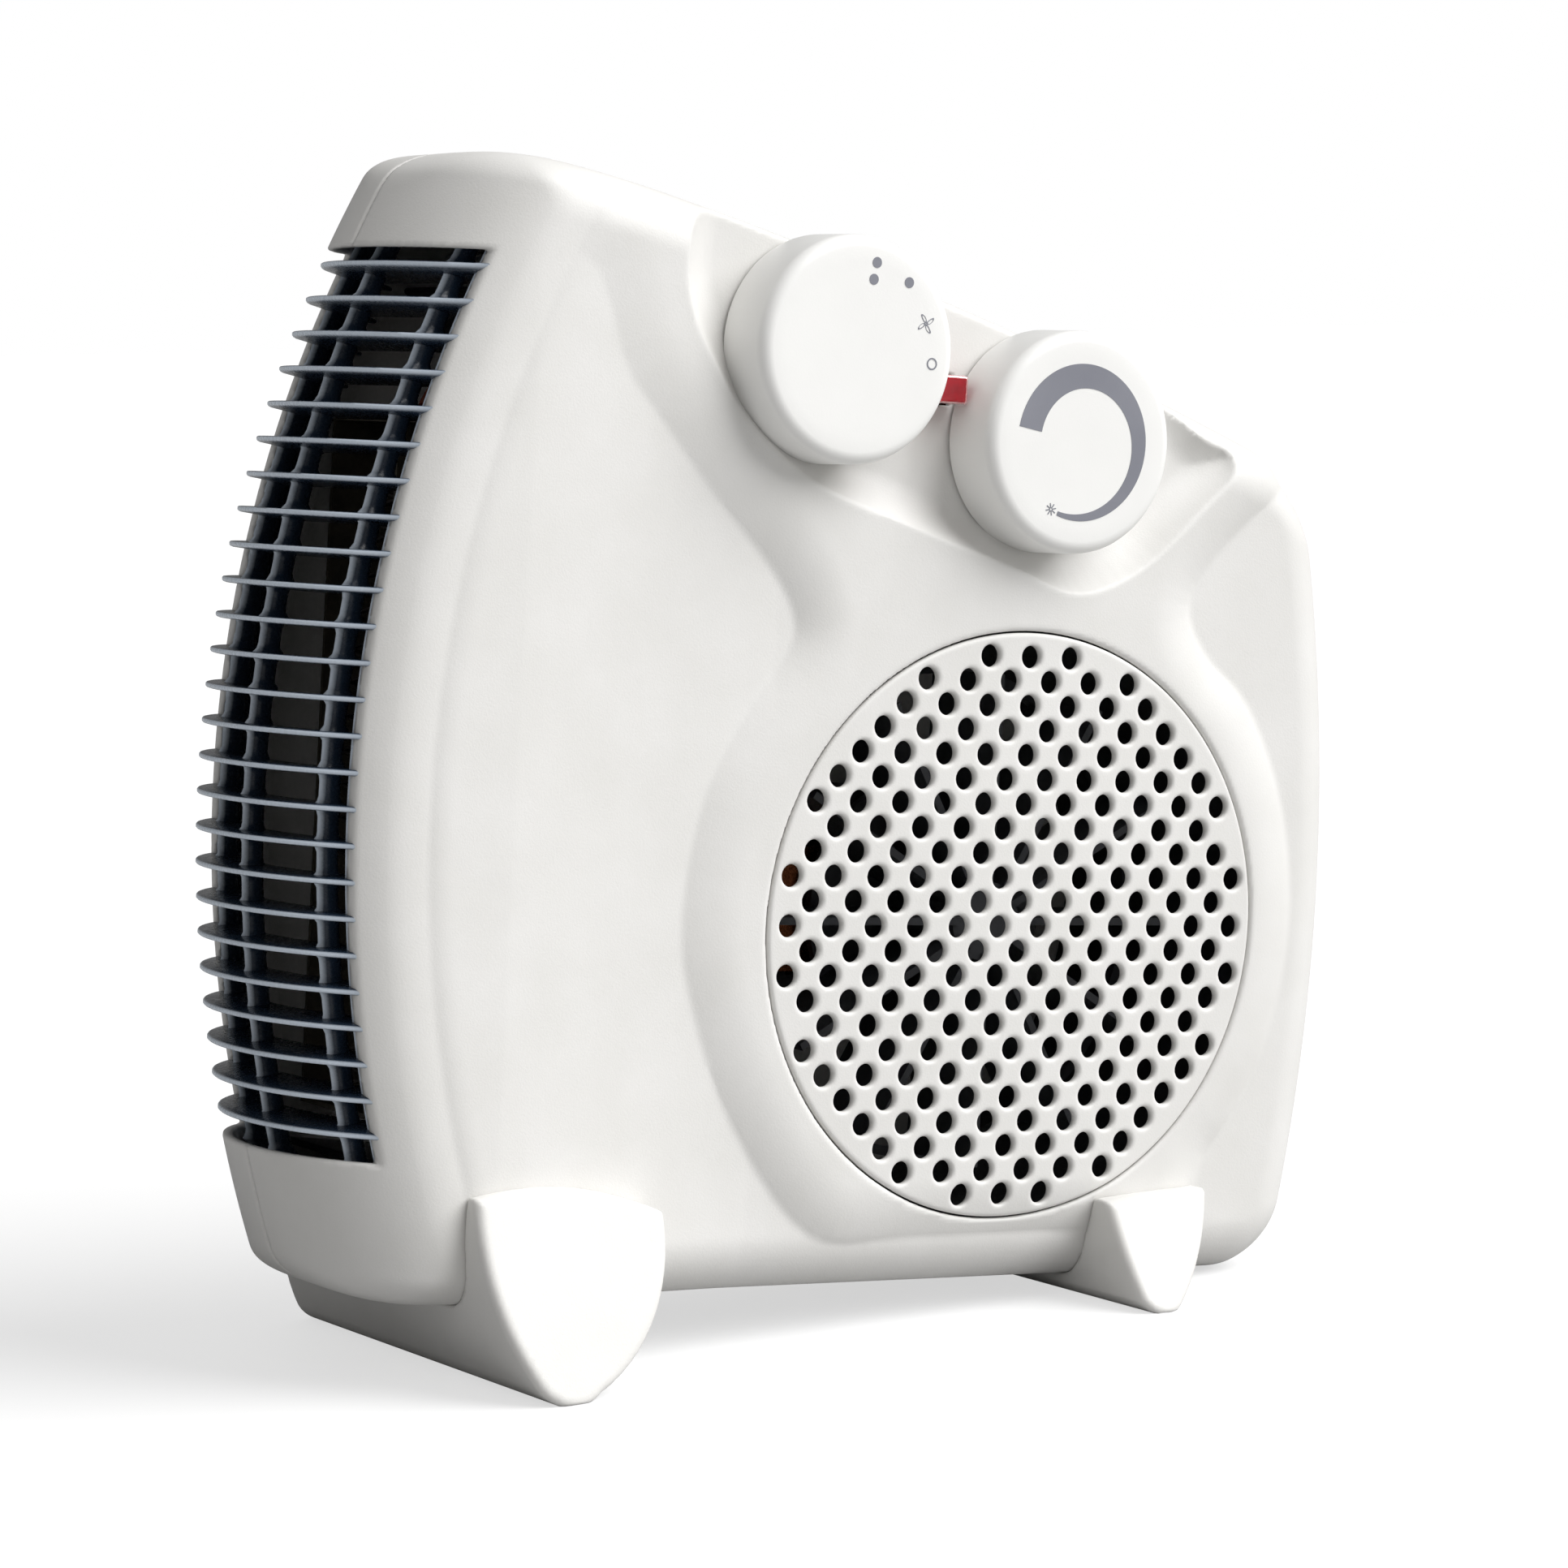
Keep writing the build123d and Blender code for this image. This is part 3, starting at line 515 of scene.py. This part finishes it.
def striped(name, dark, light, roughness, pitch, axis, metallic, bump=0.6):
    """Stacked sheets or windings: fine bands across one axis."""
    material = surface(name, dark, light, roughness, 0.6, 0.1, 9.0, metallic)
    nodes, links = material.node_tree.nodes, material.node_tree.links
    shader = next(node for node in nodes if node.type == "BSDF_PRINCIPLED")
    where = nodes.new("ShaderNodeTexCoord")
    bands = nodes.new("ShaderNodeTexWave")
    bands.bands_direction = axis
    bands.inputs["Scale"].default_value = 1000 / pitch / 3.2
    bands.inputs["Distortion"].default_value = 0.3
    links.new(where.outputs["Object"], bands.inputs["Vector"])
    relief = nodes.new("ShaderNodeBump")
    relief.inputs["Strength"].default_value = bump
    relief.inputs["Distance"].default_value = pitch * 0.0004
    links.new(bands.outputs["Fac"], relief.inputs["Height"])
    links.new(relief.outputs["Normal"], shader.inputs["Normal"])
    base = shader.inputs["Base Color"].links[0].from_socket
    shade = mix_colours(nodes, links, bands.outputs["Fac"], tuple(c * 0.5 for c in dark), base)
    links.new(shade, shader.inputs["Base Color"])
    return material


def grille_plastic():
    """Glossy blue-black plastic, with a painted reflection in pale steel blue on the surfaces that face
    outwards.
    """
    material = surface("grille_plastic", (0.012, 0.022, 0.04), (0.03, 0.05, 0.085), (0.2, 0.34),
                       0.8, 0.08, 12.0)
    nodes, links = material.node_tree.nodes, material.node_tree.links
    shader = next(node for node in nodes if node.type == "BSDF_PRINCIPLED")
    geometry = nodes.new("ShaderNodeNewGeometry")
    apart = nodes.new("ShaderNodeSeparateXYZ")
    links.new(geometry.outputs["Normal"], apart.inputs["Vector"])
    # Painted reflection: the more a surface faces out to the left, the more its colour turns pale steel
    # blue, standing in for bright surroundings mirrored in the gloss.
    edge = nodes.new("ShaderNodeMapRange")
    edge.inputs["From Min"].default_value = -0.3
    edge.inputs["From Max"].default_value = -0.75
    links.new(apart.outputs["X"], edge.inputs["Value"])
    base = shader.inputs["Base Color"].links[0].from_socket
    painted_reflection = mix_colours(nodes, links, edge.outputs["Result"], base, (0.7, 0.78, 0.88))
    links.new(painted_reflection, shader.inputs["Base Color"])
    return material


CASING = surface("casing_plastic", (0.725, 0.715, 0.69), (0.76, 0.75, 0.73), (0.42, 0.56), 0.45, 0.35)
KNOB = surface("knob_plastic", (0.86, 0.855, 0.835), (0.885, 0.88, 0.86), (0.36, 0.46), 0.4, 0.15)
GRILLE = grille_plastic()
PRINT = surface("printed_grey", (0.2, 0.205, 0.24), (0.24, 0.245, 0.28), (0.4, 0.55), 0.3, 0.2)
BLACK = surface("black_plastic", (0.008, 0.008, 0.01), (0.02, 0.02, 0.024), (0.35, 0.55), 0.5, 0.2)
FAN = surface("fan_plastic", (0.035, 0.037, 0.042), (0.07, 0.073, 0.08), (0.3, 0.45), 0.6, 0.15)
CERAMIC = surface("ceramic", (0.6, 0.57, 0.5), (0.72, 0.69, 0.62), (0.55, 0.75), 0.4, 0.4, 6.0)
RED = surface("red_lens", (0.42, 0.0, 0.012), (0.62, 0.004, 0.02), (0.04, 0.12), 1.0, 0.05, 4.0,
              Transmission_Weight=0.55, IOR=1.49)
GLASS = surface("lamp_glass", (0.9, 0.86, 0.8), (0.97, 0.95, 0.9), (0.03, 0.08), 1.0, 0.05, 4.0,
                Transmission_Weight=0.9)
CORE = striped("core_steel", (0.05, 0.05, 0.055), (0.11, 0.11, 0.12), (0.35, 0.55), 0.5, "Y", 0.8)
COPPER = striped("copper_wire", (0.42, 0.13, 0.05), (0.62, 0.24, 0.1), (0.2, 0.35), 0.35, "Y", 0.9)
ZINC = surface("zinc_steel", (0.4, 0.41, 0.43), (0.56, 0.57, 0.58), (0.25, 0.45), 0.9, 0.2, 3.0, 1.0)
BRONZE = surface("bronze", (0.35, 0.22, 0.1), (0.48, 0.32, 0.16), (0.35, 0.5), 0.3, 0.4, 2.0, 1.0)
ROTOR = striped("rotor_alloy", (0.3, 0.3, 0.31), (0.45, 0.45, 0.46), (0.3, 0.45), 0.5, "Y", 0.9)
STEEL = surface("bright_steel", (0.5, 0.5, 0.52), (0.66, 0.66, 0.68), (0.15, 0.3), 0.5, 0.1, 4.0, 1.0)
MICA = surface("mica", (0.05, 0.045, 0.035), (0.1, 0.085, 0.06), (0.4, 0.7), 1.2, 0.5, 5.0)
RIBBON = surface("resistance_alloy", (0.045, 0.042, 0.04), (0.1, 0.09, 0.085), (0.35, 0.6), 0.6, 0.3,
                 3.0, 0.8)
SLEEVE = surface("wire_sleeve", (0.3, 0.06, 0.03), (0.42, 0.1, 0.06), (0.5, 0.7), 0.5, 0.5, 5.0)
RUBBER = surface("cord_rubber", (0.62, 0.61, 0.58), (0.7, 0.69, 0.655), (0.45, 0.6), 0.6, 0.25)
NICKEL = surface("nickel", (0.55, 0.54, 0.5), (0.7, 0.69, 0.66), (0.12, 0.28), 0.7, 0.1, 4.0, 1.0)

CAD_MATERIALS = {
    "selector_spindle": BLACK, "thermostat_spindle": BLACK, "selector_switch": BLACK,
    "thermostat_body": CERAMIC, "pilot_lens": RED, "pilot_lamp": GLASS, "motor_core": CORE,
    "motor_coil": COPPER, "motor_brackets": ZINC, "motor_bearings": BRONZE, "rotor": ROTOR,
    "fan_shaft": STEEL, "impeller": FAN, "air_duct": BLACK, "heater_frame": MICA,
    "heating_ribbons": RIBBON, "thermal_cutout": ZINC, "thermal_fuse": STEEL,
    "terminal_block": CERAMIC, "internal_wiring": SLEEVE, "cord_grip": RUBBER,
    "power_cord": RUBBER, "cord_tie": BLACK, "plug_body": RUBBER, "plug_pins": NICKEL,
    "housing_screws": ZINC, "motor_screws": ZINC, "foot_screws": ZINC,
}


def paint_cad_nodes():
    for name, material in CAD_MATERIALS.items():
        node = frame["nodes"][name]
        node.data.materials.clear()
        node.data.materials.append(material)


# ---- pieces built as skins of fields ----
def build_casing():
    casings = (
        ("front_shell_skin", front_shell_field, -3, 39, "front_shell", 0.8),
        ("rear_shell_skin", rear_shell_field, 35, 76, "rear_shell", 1.0),
    )
    for name, field, front, back, node, cell in casings:
        verts, faces = skin(field, (-177, front, -80), (95, back, 160), cell)
        add_piece(name, verts, faces, "base", CASING, [node])
    verts, faces = skin(intake_field, (-64, -1.2, -64), (64, 5.5, 64), 0.45)
    add_piece("intake_disc", verts, faces, "base", CASING, ["intake_grille"])


def build_feet():
    feet = (
        ("left_foot_skin", LEFT_FOOT, LEFT_TIP, -53.0, 3.5, "left_foot", (-134, -84)),
        ("right_foot_skin", RIGHT_FOOT, RIGHT_TIP, -57.0, 3.0, "right_foot", (21, 56)),
    )
    for name, outline, tip, top, ear, node, (low_x, high_x) in feet:
        field = foot_field(np.array(outline), tip, top, ear)
        low = (low_x, -FOOT_OVERHANG - 4, tip - 3)
        high = (high_x, BODY_DEPTH + FOOT_OVERHANG + 4, top + 4)
        verts, faces = skin(field, low, high, 0.7)
        add_piece(name, verts, faces, "base", CASING, [node])


# ---- turned and swept pieces ----
def lathe(profile, centre, count=144):
    """Closed ring-shaped mesh from (radius, y) points turned about the Y axis."""
    x, z = centre
    verts, faces = [], []
    for number in range(count):
        angle = 2 * pi * number / count
        verts += [(x + r * cos(angle), y, z + r * sin(angle)) for r, y in profile]
    rows = len(profile)
    for number in range(count):
        a, b = number * rows, (number + 1) % count * rows
        for row in range(rows):
            up = (row + 1) % rows
            faces.append((a + row, a + up, b + up, b + row))
    return verts, faces


def quarter(centre_r, centre_y, radius, first, last, steps=7):
    """Arc of a turned profile between two angles in degrees, as (radius, y) points."""
    angles = np.radians(np.linspace(first, last, steps))
    return [(centre_r + radius * cos(t), centre_y + radius * sin(t)) for t in angles]


def build_knob(name, centre, body, node):
    """Hollow knob with a softly rounded rim and a thin skirt."""
    edge = 2.6
    outside = [(0.02, KNOB_FRONT), (8, KNOB_FRONT), (KNOB_RADIUS - edge - 3, KNOB_FRONT + 0.02)]
    outside += quarter(KNOB_RADIUS - edge - 0.15, KNOB_FRONT + edge, edge, -90, 0)
    outside += [(KNOB_RADIUS - 0.1, 0), (KNOB_RADIUS, KNOB_BACK - 0.6)]
    outside += quarter(KNOB_RADIUS - 0.6, KNOB_BACK - 0.6, 0.6, 15, 90, 3)
    inside = [(KNOB_RADIUS - 1.8, KNOB_BACK), (KNOB_RADIUS - 1.9, KNOB_FRONT + 4)]
    inside += [(KNOB_RADIUS - 4, KNOB_FRONT + 2.2), (5.2, KNOB_FRONT + 2.2), (5.2, KNOB_BACK - 0.3)]
    inside += [(3.4, KNOB_BACK - 0.3), (3.4, KNOB_FRONT + 3.8), (0.02, KNOB_FRONT + 3.8)]
    verts, faces = lathe(outside + inside, centre)
    add_piece(name, verts, faces, body, KNOB, [node], sharp=40)


def flat_mark(outline, centre):
    """Printed shape: a thin raised plate on a knob's face, from (x, z) points."""
    count = len(outline)
    back, front = KNOB_FRONT + 0.05, KNOB_FRONT - 0.06
    verts = [(centre[0] + x, y, centre[1] + z) for y in (back, front) for x, z in outline]
    faces = [tuple(range(count - 1, -1, -1)), tuple(range(count, 2 * count))]
    faces += [(i, (i + 1) % count, count + (i + 1) % count, count + i) for i in range(count)]
    return verts, faces


def ring_mark(outer, inner, centre):
    """Printed ring or band between two equally long runs of (x, z) points."""
    count = len(outer)
    verts, faces = [], []
    for y in (KNOB_FRONT + 0.05, KNOB_FRONT - 0.06):
        verts += [(centre[0] + x, y, centre[1] + z) for x, z in list(outer) + list(inner)]
    for i in range(count - 1):
        a, b = i, i + 1
        for base, turned in ((0, False), (2 * count, True)):
            quad = (base + a, base + b, base + count + b, base + count + a)
            faces.append(quad if not turned else quad[::-1])
        faces.append((a, 2 * count + a, 2 * count + b, b))
        faces.append((count + b, 3 * count + b, 3 * count + a, count + a))
    last = count - 1
    faces.append((0, count, 3 * count, 2 * count))
    faces.append((last, 2 * count + last, 3 * count + last, count + last))
    return verts, faces


def circle(radius, centre=(0, 0), count=40, first=0.0, last=360.0):
    angles = np.radians(np.linspace(first, last, count))
    return [(centre[0] + radius * cos(t), centre[1] + radius * sin(t)) for t in angles]


def polar(radius, angle):
    return radius * cos(radians(angle)), radius * sin(radians(angle))


def merge(shapes):
    verts, faces = [], []
    for more_verts, more_faces in shapes:
        start = len(verts)
        verts += list(more_verts)
        faces += [tuple(start + i for i in face) for face in more_faces]
    return verts, faces


def selector_marks():
    """Off ring, fan symbol, one dot and two dots."""
    off = polar(17.8, -6)
    shapes = [ring_mark(circle(1.25, off), circle(0.95, off), SELECTOR)]
    hub = polar(16.9, 21.7)
    for blade in range(4):
        turn = radians(90 * blade + 20)
        loop = []
        for t in np.linspace(0, 2 * pi, 22):
            along, across = 1.15 - 1.05 * cos(t), 0.42 * sin(t) + 0.1225 * (1 - cos(t)) ** 2
            loop.append((along * cos(turn) - across * sin(turn) + hub[0],
                         along * sin(turn) + across * cos(turn) + hub[1]))
        inner = [(hub[0] + (x - hub[0]) * 0.68 + 0.38 * cos(turn),
                  hub[1] + (z - hub[1]) * 0.68 + 0.38 * sin(turn)) for x, z in loop]
        shapes.append(ring_mark(loop, inner, SELECTOR))
    one = polar(18.1, 52.4)
    shapes.append(flat_mark(circle(1.12, one)[:-1], SELECTOR))
    for radius in (18.1, 14.6):
        dot = polar(radius, 80.7)
        shapes.append(flat_mark(circle(1.12, dot)[:-1], SELECTOR))
    return merge(shapes)


def thermostat_marks():
    """Tapering temperature band and a frost star."""
    angles = np.linspace(171, -110, 90)
    share = np.linspace(0, 1, 90)
    inner_radius = 10.7 + (15.6 - 10.7) * share**1.6
    outer = [polar(16.5, angle) for angle in angles]
    inner = [polar(radius, angle) for radius, angle in zip(inner_radius, angles)]
    shapes = [ring_mark(outer, inner, THERMOSTAT)]
    star = polar(16.0, -116.5)
    for number in range(8):
        angle = 45 * number + 10
        across = polar(0.11, angle + 90)
        ends = [polar(0.25, angle), polar(1.3, angle)]
        ray = [(star[0] + e[0] + s * across[0], star[1] + e[1] + s * across[1])
               for e, s in ((ends[0], 1), (ends[0], -1), (ends[1], -1), (ends[1], 1))]
        shapes.append(flat_mark(ray, THERMOSTAT))
    return merge(shapes)


def build_lens():
    low = (LAMP[0] - LENS_HALF[0] - 1, LENS_MID - LENS_REACH - 1, LAMP[1] - LENS_HALF[1] - 1)
    high = (LAMP[0] + LENS_HALF[0] + 1, LENS_MID + LENS_REACH + 1, LAMP[1] + LENS_HALF[1] + 1)
    verts, faces = skin(lens_field, low, high, 0.25)
    add_piece("pilot_lens_block", verts, faces, "base", RED, ["pilot_lens"])


def build_controls():
    build_knob("selector_knob_cap", SELECTOR, "selector", "selector_knob")
    build_knob("thermostat_knob_cap", THERMOSTAT, "thermostat", "thermostat_knob")
    verts, faces = selector_marks()
    add_piece("selector_marks", verts, faces, "selector", PRINT, sharp=30)
    verts, faces = thermostat_marks()
    add_piece("thermostat_marks", verts, faces, "thermostat", PRINT, sharp=30)


def nose_radius(y):
    """Radius of the nose at depth y, from the outlet arc's centre."""
    return NOSE_START + NOSE_BULGE * sqrt(max(0.0, 1 - ((y - MID_Y) / MID_Y) ** 2))


def arc_x(radius, z):
    return ARC_X - sqrt(radius**2 - (z - ARC_Z) ** 2)


def fin_lean(z):
    """Slope of a fin's section: the upper fins dip inwards and the lower ones rise."""
    return -0.3 * (z - 34) / 96 if z > 34 else 0.18 * (34 - z) / 76


def swept(stations):
    """Closed mesh through equally long loops of points, capped at both ends."""
    verts = [point for loop in stations for point in loop]
    size = len(stations[0])
    faces = [tuple(range(size - 1, -1, -1))]
    for row in range(len(stations) - 1):
        for i in range(size):
            a, b = row * size + i, row * size + (i + 1) % size
            faces.append((a, b, b + size, a + size))
    faces.append(tuple(range((len(stations) - 1) * size, len(stations) * size)))
    return verts, faces


def fin(z):
    """One curved fin with a rounded outer lip and rounded ends."""
    front, back = 3.6, BODY_DEPTH - 3.6
    stations = []
    for t in np.linspace(0, pi, 61):
        y = (front + back) / 2 - (back - front) / 2 * cos(t)
        radius = nose_radius(y) - 0.2
        end = min(1.0, sin(t) * 7 + 0.12)
        depth = FIN_DEPTH * end
        outer_lip = [(0, 0.25), (0.25, 0.5), (0.8, 0.62), (3, 0.55)]
        inner_edge = [(0.97 * depth, 0.42), (depth, 0.2)]
        upper = [(min(inward, depth), half * (0.5 + 0.5 * end)) for inward, half in outer_lip + inner_edge]
        lower = [(inward, -half) for inward, half in reversed(upper)]
        ring = []
        for inward, half in upper + lower:
            ring.append((arc_x(radius - inward, z), y, z + fin_lean(z) * inward + half))
        stations.append(ring)
    return swept(stations)


def post(y):
    """Upright post behind the fins, with a small web at every fin."""
    stations = []
    radius = nose_radius(y) - 5.2
    for z in np.linspace(OPENING_TOP + 4, OPENING_BOTTOM - 4, 190):
        nearest = (FIRST_FIN_Z - z) / FIN_PITCH
        gap = abs(nearest - round(nearest)) * FIN_PITCH
        web = 1 + 0.7 * np.exp(-((gap / 0.9) ** 2))
        ring = []
        for t in np.linspace(0, 2 * pi, 13)[:-1]:
            across, inward = 1.15 * web * cos(t), 2.4 * (1 - web * 0.7 * sin(t) - 0.3 * sin(t))
            ring.append((arc_x(radius - inward, z), y + across, z))
        stations.append(ring)
    return swept(stations)


def rail(side):
    """Flat rail behind a long edge of the opening, which carries the ends of the fins."""
    stations = []
    for z in np.linspace(OPENING_TOP + 5, OPENING_BOTTOM - 5, 80):
        ring = []
        for radius, step in ((259, 0.6), (259, 2.0), (252, 2.0), (252, 0.6)):
            depth = MID_Y - MID_Y * sqrt(1 - (min(radius - NOSE_START, NOSE_BULGE) / NOSE_BULGE) ** 2)
            at_y = depth + WALL + step
            ring.append((arc_x(radius, z), at_y if side < 0 else BODY_DEPTH - at_y, z))
        stations.append(ring)
    return swept(stations)


def build_outlet():
    shapes = [fin(FIRST_FIN_Z - number * FIN_PITCH) for number in range(FIN_COUNT)]
    shapes += [post(y) for y in (15.0, MID_Y, BODY_DEPTH - 15.0)]
    shapes += [rail(side) for side in (-1, 1)]
    verts, faces = merge(shapes)
    add_piece("outlet_fins", verts, faces, "base", GRILLE, ["outlet_grille"],
              sharp=50)


# ---- stage ----
def camera_only(nodes, links, otherwise, seen):
    """Value that is one thing for what the camera sees and another for the light it throws."""
    path = nodes.new("ShaderNodeLightPath")
    strength = nodes.new("ShaderNodeMapRange")
    strength.inputs["To Min"].default_value = otherwise
    strength.inputs["To Max"].default_value = seen
    links.new(path.outputs["Is Camera Ray"], strength.inputs["Value"])
    return strength.outputs["Result"]


def floor_material():
    """Pale paper that glows a little to the camera, so only the shadow shows on it."""
    material = surface("stage_white", (0.4, 0.4, 0.4), (0.42, 0.42, 0.42), (0.7, 0.8), 2.0, 0.02,
                       300.0, Emission_Color=(1, 1, 1, 1))
    nodes, links = material.node_tree.nodes, material.node_tree.links
    shader = next(node for node in nodes if node.type == "BSDF_PRINCIPLED")
    links.new(camera_only(nodes, links, 0.0, 0.62), shader.inputs["Emission Strength"])
    return material


def build_stage():
    floor = bpy.data.meshes.new("floor")
    size = 20.0
    floor.from_pydata([(-size, -size, 0), (size, -size, 0), (size, size, 0), (-size, size, 0)],
                      [], [(0, 1, 2, 3)])
    floor.materials.append(floor_material())
    plate = bpy.data.objects.new("floor", floor)
    bpy.context.scene.collection.objects.link(plate)
    world = bpy.data.worlds.new("studio")
    world.use_nodes = True
    nodes, links = world.node_tree.nodes, world.node_tree.links
    background = nodes["Background"]
    background.inputs["Color"].default_value = (1, 1, 1, 1)
    links.new(camera_only(nodes, links, 0.27, 1.0), background.inputs["Strength"])
    bpy.context.scene.world = world
    bpy.context.scene.view_settings.view_transform = "Standard"


def add_light(name, kind, where, size, power):
    """Lamp aimed at the heater: the sun's size is an angle in degrees, a disc's is in metres."""
    light = bpy.data.lights.new(name, kind)
    light.energy = power
    if kind == "SUN":
        light.angle = radians(size)
    else:
        light.shape = "DISK"
        light.size = size
    lamp = bpy.data.objects.new(name, light)
    bpy.context.scene.collection.objects.link(lamp)
    lamp.location = where
    lamp.rotation_mode = "QUATERNION"
    lamp.rotation_quaternion = (Vector((0, 0, 0.12)) - Vector(where)).to_track_quat("-Z", "Y")


def add_camera():
    """Long lens from the front left, a little above the middle, slightly rolled."""
    azimuth, drop, roll = radians(32.716), radians(3.087), radians(3.074)
    ahead = Vector((sin(azimuth) * cos(drop), cos(azimuth) * cos(drop), -sin(drop)))
    level = Vector((cos(azimuth), -sin(azimuth), 0))
    up = level.cross(ahead)
    right = level * cos(roll) + up * sin(roll)
    turned = Matrix((right, right.cross(ahead), -ahead)).transposed().to_4x4()
    data = bpy.data.cameras.new("camera")
    data.lens = 112.835
    data.sensor_width = 36
    data.clip_start, data.clip_end = 0.05, 50
    camera = bpy.data.objects.new("camera", data)
    bpy.context.scene.collection.objects.link(camera)
    eye = PLACE @ Vector((-604.95, -846.08, 83.65))
    camera.matrix_world = Matrix.Translation(eye) @ (PLACE.to_quaternion().to_matrix().to_4x4() @ turned)
    bpy.context.scene.camera = camera


paint_cad_nodes()
build_casing()
build_feet()
build_controls()
build_lens()
build_outlet()
build_stage()
add_light("key", "SUN", (1.1, -1.1, 1.5), 55, 3.9)
add_light("fill", "AREA", (-1.2, -1.4, 1.4), 1.2, 2)
add_camera()
